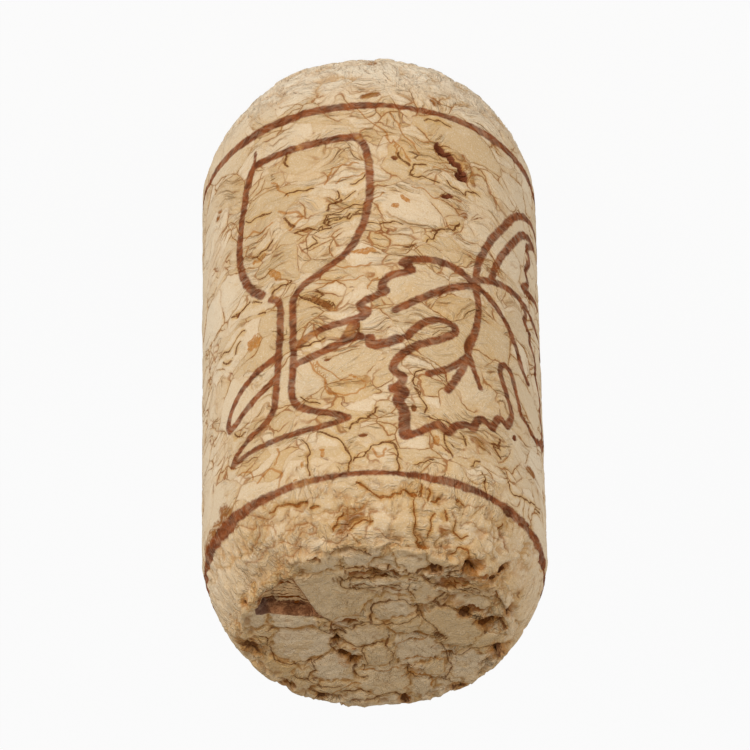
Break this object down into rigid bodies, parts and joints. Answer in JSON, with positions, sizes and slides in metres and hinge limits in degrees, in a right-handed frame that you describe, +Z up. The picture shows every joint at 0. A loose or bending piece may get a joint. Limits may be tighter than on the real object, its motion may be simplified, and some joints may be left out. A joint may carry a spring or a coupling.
{
  "type": "wine cork",
  "caption": "Agglomerated cork stopper: a granule-textured cylinder with a rounded bevel at each end, printed with plain line figures.",
  "frame": {"origin": "middle of the lower end face, which the cork stands on", "axes": "+Z up along the cork's axis, -Y towards the side with the printed figures, +X to the right of that side"},
  "size_m": [0.024, 0.024, 0.044],
  "materials": {
    "cork": "matt bonded cork granules with brown line print"
  },
  "bodies": {
    "root": {"cork": "cork"}
  },
  "joints": []
}
